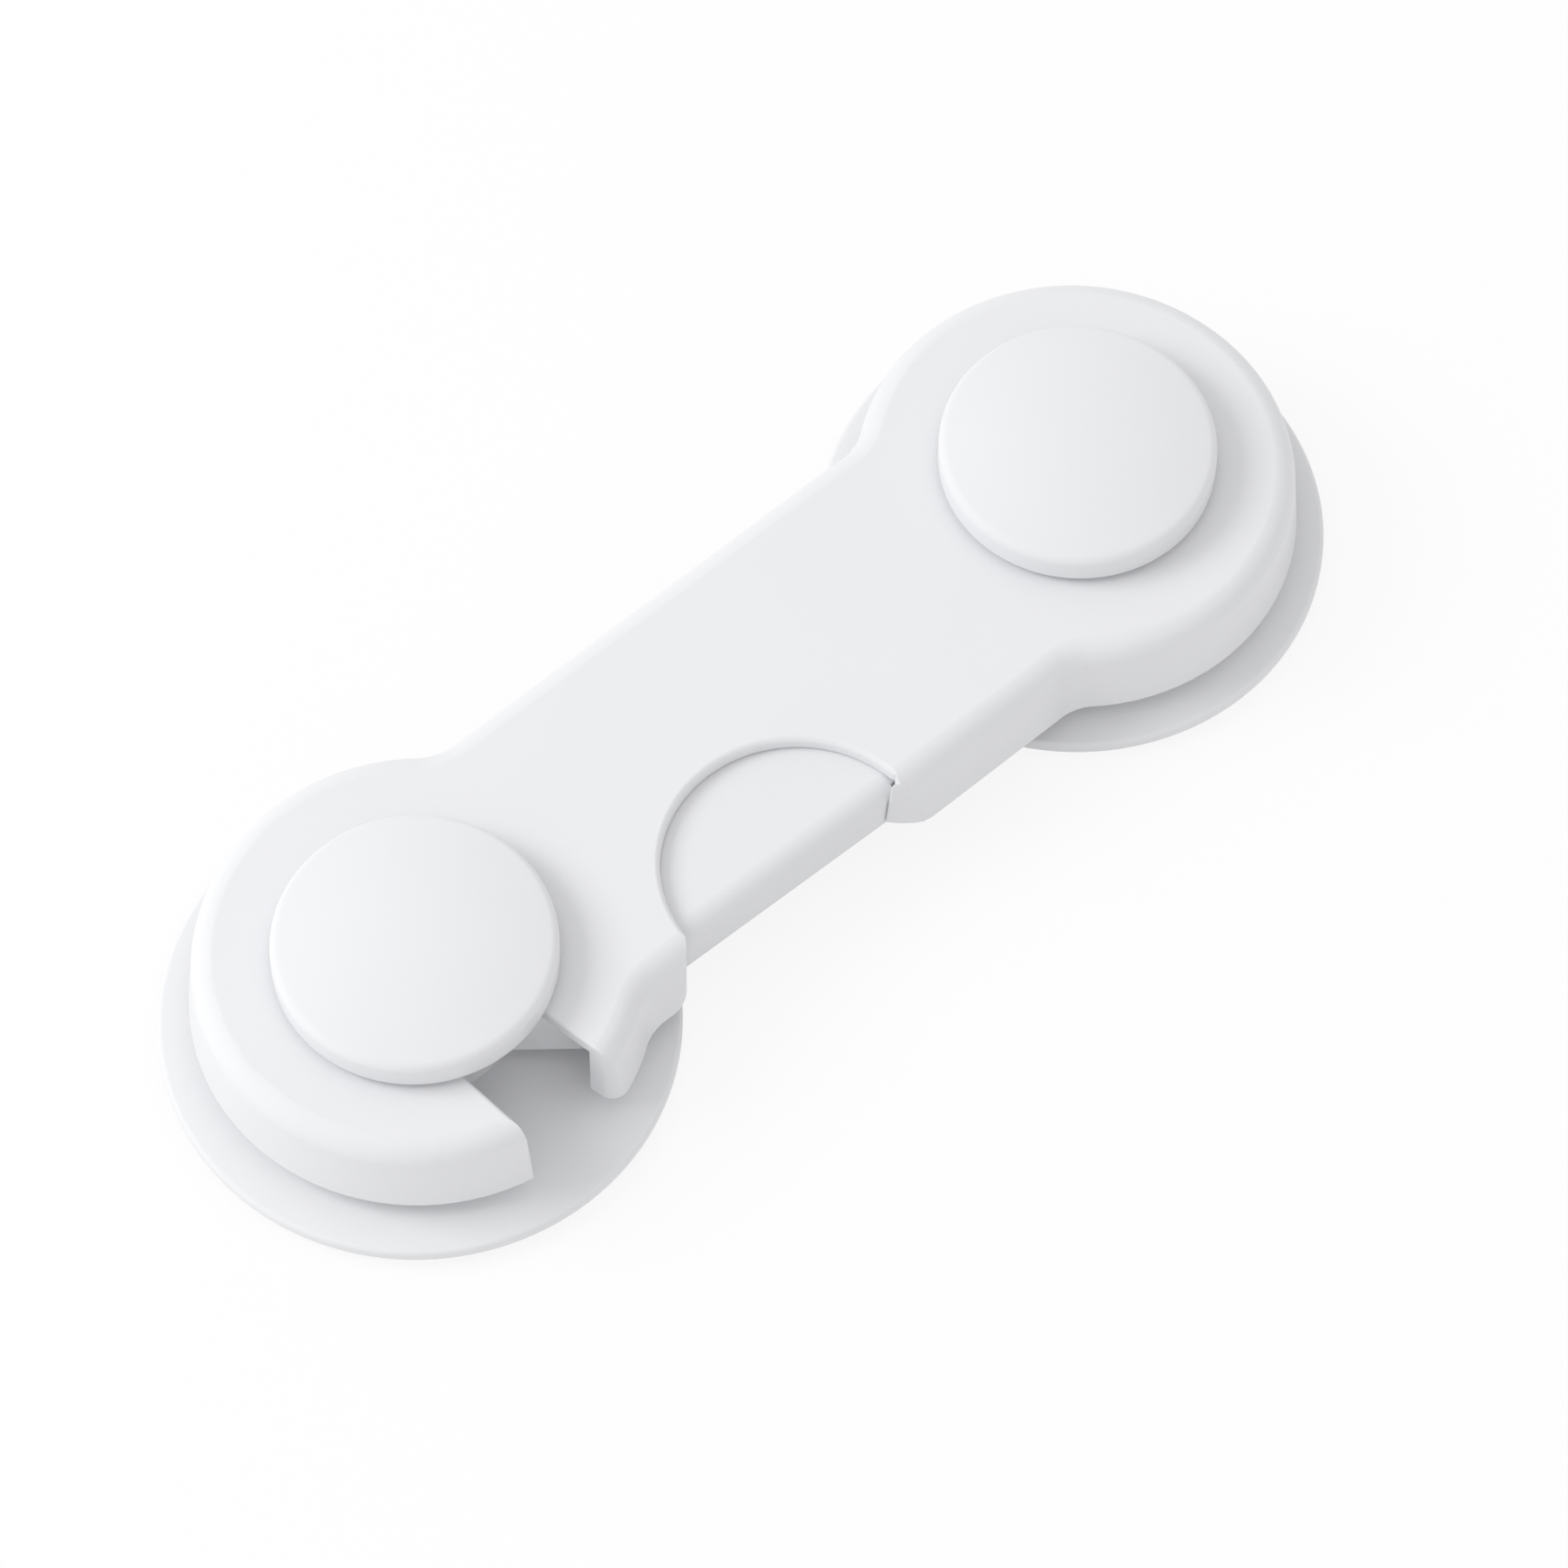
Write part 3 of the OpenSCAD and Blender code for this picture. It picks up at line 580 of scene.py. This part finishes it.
# %% Screws in their places
def screws(name, spots, sizes):
    """Screws whose heads stand at the spots (millimetres), with sizes in the order of the inputs."""
    mesh = bpy.data.meshes.new(name + "_spots")
    mesh.from_pydata([Vector(spot) * MM for spot in spots], [], [])
    values = {title: size * MM for title, size in zip(SCREW_INPUTS, sizes)}
    return made_by(screw_maker, name, mesh, {**values, "Finish": steel})


CAP_SCREW = (2.1, 2.1, 1.3, 1.0, 11.7, 0.5)
PLATE_SCREW = (1.9, 1.0, 0.9, 1.0, 5.0, 0.5)
for end, x in POSTS.items():
    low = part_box(end + "_screw")[0]
    fit(screws(end + "_cap_screw", [(x, 0, low[2] / MM)], CAP_SCREW), "root", "steel", end + "_screw")
plate_low, plate_high = [Vector(corner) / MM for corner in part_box("plate_screws")]
PLATE_HEAD_R = PLATE_SCREW[0]
HUB_Y, HOOK_Y = 8.0, 6.5
spots = [
    (x, side * y, plate_low.z)
    for x, y in ((plate_high.x - PLATE_HEAD_R, HUB_Y), (plate_low.x + PLATE_HEAD_R, HOOK_Y))
    for side in (1, -1)
]
fit(screws("plate_screw_set", spots, PLATE_SCREW), "arm", "steel", "plate_screws")

# %% [markdown]
# ## Return spring
# The spring pushes the lever back. It could be a Screw modifier on a circle, but a real spring has
# close turns at both ends, where it stands on its seats. So its path is a formula: the angle grows
# evenly along it, and the rise grows slowly at the ends and faster between. One end stands in the
# arm and the other on a peg of the lever.


# %% Spring
SPRING_POINTS, SPRING_TURNS, WIRE_SIDES = 217, 6.0, 10
WIRE_R, CLOSE_PITCH, END_TURN = 0.25, 2.1, 0.6


def spring_tree():
    tree, given = new_tree(
        "coil_spring",
        [
            ("Coil radius", "NodeSocketFloat"),
            ("Wire radius", "NodeSocketFloat"),
            ("Turns", "NodeSocketFloat"),
            ("Span", "NodeSocketFloat"),
            ("Start", "NodeSocketVector"),
            ("Finish", "NodeSocketMaterial"),
        ],
    )
    start, turns, wire_r = given["Geometry"], given["Turns"], given["Wire radius"]
    index = start.node("GeometryNodeInputIndex")
    share = index / (SPRING_POINTS - 1)
    angle = share * turns * (2 * math.pi)
    close_rise = CLOSE_PITCH * wire_r * turns
    stretch = start.node(
        "ShaderNodeMapRange",
        {"interpolation_type": "SMOOTHSTEP"},
        {"Value": share, "From Min": 1 / turns, "From Max": 1 - 1 / turns},
    )
    rise = close_rise * share + (given["Span"] - close_rise) * stretch
    coil_r = given["Coil radius"]
    spot = xyz(start, coil_r * angle.maths("COSINE", angle), rise, coil_r * angle.maths("SINE", angle))
    moved = start.node("ShaderNodeVectorMath", {"operation": "ADD"}, {0: spot, 1: given["Start"]})
    line = start.node("GeometryNodeMeshLine", sockets={"Count": SPRING_POINTS})
    wound = start.node("GeometryNodeSetPosition", sockets={"Geometry": line, "Position": moved})
    path = start.node("GeometryNodeMeshToCurve", sockets={"Mesh": wound})
    close_tree(tube(path, wire_r, WIRE_SIDES), given["Finish"])
    return tree


low, high = [Vector(corner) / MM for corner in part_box("lever_spring")]
SPRING_X, SPRING_Z = (low.x + high.x) / 2, (low.z + high.z) / 2
spring_values = {
    "Coil radius": ((high.x - low.x) / 2 - WIRE_R) * MM,
    "Wire radius": WIRE_R * MM,
    "Turns": SPRING_TURNS,
    "Span": (high.y - low.y - 2 * WIRE_R) * MM,
    "Start": Vector((SPRING_X, low.y + WIRE_R, SPRING_Z)) * MM,
    "Finish": steel,
}
spring = made_by(spring_tree(), "return_spring", bpy.data.meshes.new("spring_seed"), spring_values)
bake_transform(spring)
dress(spring, "steel", "lever_spring")

# %% [markdown]
# ## Arm, plate and lever
# These are mouldings with drafted walls, blends and openings, and their solids have the right form
# already. What the solids lack is the small rounding of every moulded rim, which catches the light.
# A Bevel modifier finds too many short edges where the openings run over the arm's rolled edge. So a
# rim is rounded as a toolmaker would do it, with a form cutter: a strip with a hollow round section
# is swept along the rim and taken away from the piece.


# %% Cutters for rims
CUT_STEPS, CUT_SPARE = 8, 0.4


def rim_cutter(path, radius, lean):
    """A closed strip that rounds a corner. The path has (corner, into, out) in millimetres: the
    corner's place, the way into the material and the way out of it. Lean is the angle in degrees at
    which the round meets both faces, so that it also crosses the flat facets of a curved wall."""
    reach = radius * math.cos(math.radians(lean))
    section = [(-CUT_SPARE, -reach)]
    for step in range(CUT_STEPS + 1):
        turn = math.pi * (1 - step / CUT_STEPS / 2)
        section.append((reach + radius * math.cos(turn), radius * math.sin(turn) - reach))
    section += [(reach, CUT_SPARE), (-CUT_SPARE, CUT_SPARE)]
    size = len(section)
    points = [(corner + into * u + out * v) * MM for corner, into, out in path for u, v in section]
    last = (len(path) - 1) * size
    faces = []
    for row in range(0, last, size):
        for i in range(size):
            beside = (i + 1) % size
            faces.append((row + i, row + beside, row + size + beside, row + size + i))
    return points, faces + [tuple(range(size)), tuple(range(last + size - 1, last - 1, -1))]


def closed_object(name, points, faces, finish):
    """An object of one closed mesh, with its faces turned outwards."""
    mesh = bpy.data.meshes.new(name)
    mesh.from_pydata(points, [], faces)
    mesh.materials.append(finish)
    outward(mesh)
    return new_object(name, mesh)


def cutter_object(name, strips, finish):
    """One object of several strips that don't touch each other."""
    points, faces = [], []
    for strip_points, strip_faces in strips:
        faces += [tuple(len(points) + i for i in face) for face in strip_faces]
        points += strip_points
    return closed_object(name, points, faces, finish)


print("a cutter's round has", CUT_STEPS, "steps")

# %% Rims of the notch, the mouth and the thumb pad
UP = Vector((0, 0, 1))
ARM_TOP, COVER_LOW, ARM_LOW = 13.0, 11.7, 4.7
NOTCH, NOTCH_R = Vector((-6.9, -14.0, ARM_TOP)), 11.8
MOUTH_START, MOUTH_LEAN = Vector((-42.313, -0.390, ARM_TOP)), math.radians(5)
MOUTH_ARC_R, BEAK_FACE = 70.87, -15.2
PAD_X, PAD_FACE, PAD_LEAN, LEVER_TOP = -6.9, -13.15, math.radians(1.4), 11.55
NOTCH_DEGREES, MOUTH_FROM, MOUTH_TO, PAD_SPAN = range(-8, 189, 2), 1, 23, (-20, 6)
BEAK_ENDS = (ARM_LOW - 0.3, COVER_LOW - 0.02)
NOTCH_RIM, MOUTH_LEFT_RIM, MOUTH_RIGHT_RIM = (0.65, 15), (0.5, 8), (0.5, 25)
BEAK_RIM, PAD_RIM = (1.0, 8), (2.0, 6)


def notch_rim():
    path = []
    for degrees in NOTCH_DEGREES:
        into = Vector((math.cos(math.radians(degrees)), math.sin(math.radians(degrees)), 0))
        path.append((NOTCH + into * NOTCH_R, into, UP))
    return path


def mouth_left_rim():
    along = Vector((math.sin(MOUTH_LEAN), -math.cos(MOUTH_LEAN), 0))
    return [(MOUTH_START + along * t, UP.cross(along) * -1, UP) for t in (MOUTH_FROM, MOUTH_TO)]


def mouth_right_rim():
    path = []
    for y in range(-MOUTH_FROM, -MOUTH_TO, -1):
        into = Vector((math.sqrt(MOUTH_ARC_R**2 - y * y), -y, 0)) / MOUTH_ARC_R
        path.append((Vector((POSTS["pivot"], 0, ARM_TOP)) - into * MOUTH_ARC_R, into, UP))
    return path


def beak_inner_edge():
    x = POSTS["pivot"] - math.sqrt(MOUTH_ARC_R**2 - BEAK_FACE**2)
    return [(Vector((x, BEAK_FACE, z)), Vector((1, 0, 0)), Vector((0, 1, 0))) for z in BEAK_ENDS]


def pad_front_rim():
    into = Vector((math.sin(PAD_LEAN), math.cos(PAD_LEAN), 0))
    slope = -math.tan(PAD_LEAN)
    return [(Vector((x, PAD_FACE + slope * (x - PAD_X), LEVER_TOP)), into, UP) for x in PAD_SPAN]


arm_cutter = cutter_object(
    "arm_rim_cutter",
    [
        rim_cutter(notch_rim(), *NOTCH_RIM),
        rim_cutter(mouth_left_rim(), *MOUTH_LEFT_RIM),
        rim_cutter(mouth_right_rim(), *MOUTH_RIGHT_RIM),
        rim_cutter(beak_inner_edge(), *BEAK_RIM),
    ],
    white_plastic,
)
pad_strip = rim_cutter(pad_front_rim(), *PAD_RIM)
lever_cutter = cutter_object("lever_rim_cutter", [pad_strip], lever_plastic)
print("cutters:", len(arm_cutter.data.polygons), "and", len(lever_cutter.data.polygons), "faces")


# %% [markdown]
# The arm's wall ends beside the thumb pad. There it laps a little in front of the pad, more so at its
# foot, and hides the running gap behind it. The lap is a loft between two outlines, one above the
# other, and its foot rises evenly towards the tip. What would stand out of the arm is trimmed by the
# rolled section of the arm's side.

# %% Wall end beside the thumb pad
LAP_FOOT = [
    (4.86, -13.06), (4.66, -13.36), (4.40, -13.53), (3.55, -13.55), (3.60, -13.70),
    (4.05, -13.98), (4.85, -14.36), (6.90, -14.90), (7.20, -14.00), (6.50, -13.06),
]
LAP_HEAD = [
    (4.86, -13.06), (4.66, -13.36), (4.46, -13.53), (4.06, -13.56), (4.12, -13.68),
    (4.52, -13.93), (5.30, -14.30), (6.90, -14.75), (7.20, -14.00), (6.50, -13.06),
]
FOOT_X, FOOT_RISE = 6.9, 0.657
SIDE_SPAN, SIDE_BACK, SIDE_Y, SIDE_DRAFT, TRIM = (2, 9), -11.9, -15.0, math.radians(5), 0.02
ROLL_Y, ROLL_Z, ROLL_R, ROLL_STEPS = -12.1645, 10.72, 2.3, 12


def loft(name, low, high, finish):
    """A closed mesh object between two outlines of as many points, in millimetres."""
    size = len(low)
    sides = [(i, (i + 1) % size, size + (i + 1) % size, size + i) for i in range(size)]
    caps = [tuple(range(size)), tuple(range(size, 2 * size))]
    return closed_object(name, [Vector(point) * MM for point in [*low, *high]], sides + caps, finish)


def combined(piece, operation, tool):
    """An object combined with a tool. Both are used up, and the result is a new object."""
    step = piece.modifiers.new("combine", "BOOLEAN")
    step.operation, step.solver, step.object = operation, "MANIFOLD", tool
    name = piece.name
    mesh = applied(piece)
    bpy.data.objects.remove(tool)
    return new_object(name + "_cut", mesh)


def wall_end():
    section = [(SIDE_BACK, ARM_LOW + TRIM), (SIDE_Y + TRIM, ARM_LOW + TRIM)]
    round_r = ROLL_R - TRIM
    for step in range(ROLL_STEPS + 1):
        turn = SIDE_DRAFT + (math.pi / 2 - SIDE_DRAFT) * step / ROLL_STEPS
        section.append((ROLL_Y - round_r * math.cos(turn), ROLL_Z + round_r * math.sin(turn)))
    section.append((SIDE_BACK, ROLL_Z + ROLL_R))
    near, far = [[(x, y, z) for y, z in section] for x in SIDE_SPAN]
    side = loft("arm_side", near, far, white_plastic)
    foot = [(x, y, ARM_LOW + FOOT_RISE * (FOOT_X - x)) for x, y in LAP_FOOT]
    head = [(x, y, ARM_TOP) for x, y in LAP_HEAD]
    return combined(loft("wall_lap", foot, head, white_plastic), "INTERSECT", side)


lap = wall_end()
print("lap:", len(lap.data.polygons), "faces")

# %% [markdown]
# A copy of a solid comes as loose triangles, so its points are merged first. Then the lap is joined
# to it and the rims are cut. A moulding has flats beside small rounds, and plain smooth shading lets
# the rounds pull the flats askew. Weighted normals let the large faces decide, so that the flats
# stay even and only the rounds shade.

# %% Mouldings with rounded rims
FLAT, WELD, SLIVER = math.radians(0.02), 0.002 * MM, 0.001 * MM


def moulding(name, node, finish, cutter=None, added=None):
    """A copy of a solid, merged and cleaned, with its rims cut round and its flats shaded flat."""
    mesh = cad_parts[node].data.copy()
    mesh.name = name
    work = bmesh.new()
    work.from_mesh(mesh)
    bmesh.ops.remove_doubles(work, verts=work.verts, dist=WELD)
    bmesh.ops.dissolve_degenerate(work, edges=work.edges, dist=SLIVER)
    work.to_mesh(mesh)
    work.free()
    mesh.materials.clear()
    mesh.materials.append(finish)
    source = new_object(name + "_source", mesh)
    if added:
        source = combined(source, "UNION", added)
    if cutter:
        source = combined(source, "DIFFERENCE", cutter)
    mesh = applied(source)
    work = bmesh.new()
    work.from_mesh(mesh)
    bmesh.ops.dissolve_limit(
        work, angle_limit=FLAT, verts=work.verts, edges=work.edges, delimit={"NORMAL"}
    )
    for face in work.faces:
        face.smooth = True
    for edge in work.edges:
        edge.smooth = edge.is_manifold and edge.calc_face_angle() < SHARP
    work.to_mesh(mesh)
    work.free()
    source = new_object(name + "_rounded", mesh)
    weigh = source.modifiers.new("even shading", "WEIGHTED_NORMAL")
    weigh.keep_sharp, weigh.mode = True, "FACE_AREA_WITH_ANGLE"
    plain = applied(source)
    plain.name = name
    return new_object(name, plain)


arm = moulding("arm_moulding", "arm_shell", white_plastic, arm_cutter, lap)
fit(arm, "arm", "white_plastic", "arm_shell")
plate = moulding("bottom_plate", "arm_plate", inner_plastic)
fit(plate, "arm", "inner_plastic", "arm_plate")
lever = moulding("thumb_lever", "release_lever", lever_plastic, lever_cutter)
fit(lever, "lever", "lever_plastic", "release_lever")

# %% [markdown]
# ## Camera
# The camera stands where the photograph was taken from: its angles, distance and lens were solved
# from the round outlines of the bases and caps. It is placed with a matrix of its own axes, because
# the small roll is then just a turn of two of them.

# %% Camera
AZIMUTH, ELEVATION, ROLL = math.radians(-41.81), math.radians(61.58), math.radians(1.07)
DISTANCE = 629.9 * MM
AIM = Vector((1.75, -2.30, 0.0)) * MM
PHOTO_PIXELS, FOCAL_PIXELS, SENSOR = 1800, 8257, 36

back = Vector(
    (
        math.sin(AZIMUTH) * math.cos(ELEVATION),
        -math.cos(AZIMUTH) * math.cos(ELEVATION),
        math.sin(ELEVATION),
    )
)
right = Vector((math.cos(AZIMUTH), math.sin(AZIMUTH), 0.0))
up = back.cross(right)
rolled_right = right * math.cos(ROLL) + up * math.sin(ROLL)
rolled_up = up * math.cos(ROLL) - right * math.sin(ROLL)
lens = bpy.data.cameras.new("camera")
lens.sensor_width, lens.lens = SENSOR, SENSOR * FOCAL_PIXELS / PHOTO_PIXELS
lens.clip_start, lens.clip_end = 0.01, 10
camera = new_object("camera", lens)
place = Matrix((rolled_right, rolled_up, back)).transposed().to_4x4()
place.translation = AIM + back * DISTANCE
camera.matrix_world = place
scene.camera = camera
print("lens", round(lens.lens, 1), "mm")

# %% [markdown]
# ## Floor and light
# The photograph is a white studio picture: even light from all round, a little more from the upper
# left, and a white ground. Lamps strong enough to bleach a floor would bleach the white plastic too,
# so the floor reads white by its own material: a camera ray sees mostly plain white and keeps a part
# of the real floor, with the lock's soft shadow on it.

# %% Floor
FLOOR_SIZE, FLOOR_Z = 3.0, -0.02 * MM
FLOOR_BOUNCE, FLOOR_PAPER, FLOOR_ROUGH = 0.84, 0.95, 0.9
FLOOR_WHITE = 0.86


def studio_floor():
    mesh = bpy.data.meshes.new("floor")
    s = FLOOR_SIZE
    corners = [(-s, -s, FLOOR_Z), (s, -s, FLOOR_Z), (s, s, FLOOR_Z), (-s, s, FLOOR_Z)]
    mesh.from_pydata(corners, [], [(0, 1, 2, 3)])
    material, shader, place = new_finish("studio_floor")
    shader.inputs["Roughness"].default_value = FLOOR_ROUGH
    shader.inputs["Specular IOR Level"].default_value = 0.0
    shader.inputs["Base Color"].default_value = (FLOOR_BOUNCE, FLOOR_BOUNCE, FLOOR_BOUNCE, 1)
    tree = material.node_tree
    rays = place.node("ShaderNodeLightPath", output="Is Camera Ray")
    seen = rays + rays.also("Is Glossy Ray") + rays.also("Is Transmission Ray")
    paper_colour = (FLOOR_PAPER, FLOOR_PAPER, FLOOR_PAPER, 1)
    paper = place.node("ShaderNodeBsdfDiffuse", sockets={"Color": paper_colour})
    white = place.node("ShaderNodeEmission", sockets={"Strength": 1.0})
    shown = place.node("ShaderNodeMixShader", sockets={0: FLOOR_WHITE, 1: paper, 2: white})
    both = place.node(
        "ShaderNodeMixShader", sockets={0: seen, 1: Wire(tree, shader.outputs[0]), 2: shown}
    )
    output = tree.nodes["Material Output"]
    tree.links.new(both.socket, output.inputs["Surface"])
    mesh.materials.append(material)
    floor = new_object("floor", mesh)
    return floor


floor = studio_floor()
print("floor", floor.name)

# %% Light
WORLD_STRENGTH = 0.75
KEY_FROM = Vector((-0.56, 0.50, 0.66))
KEY_POWER, KEY_SIZE, KEY_AWAY = 3.3, 0.45, 0.9

world = bpy.data.worlds.new("studio")
scene.world = world
world.use_nodes = True
sky = world.node_tree.nodes["Background"]
sky.inputs["Color"].default_value = (1.0, 1.0, 1.0, 1)
sky.inputs["Strength"].default_value = WORLD_STRENGTH
key = bpy.data.lights.new("key", "AREA")
key.energy, key.size = KEY_POWER, KEY_SIZE
lamp = new_object("key", key)
lamp.visible_glossy = False
lamp.location = KEY_FROM.normalized() * KEY_AWAY
lamp.rotation_euler = lamp.location.to_track_quat("Z", "Y").to_euler()
scene.view_settings.view_transform = "Standard"
print("world", WORLD_STRENGTH, "key", KEY_POWER, "W")
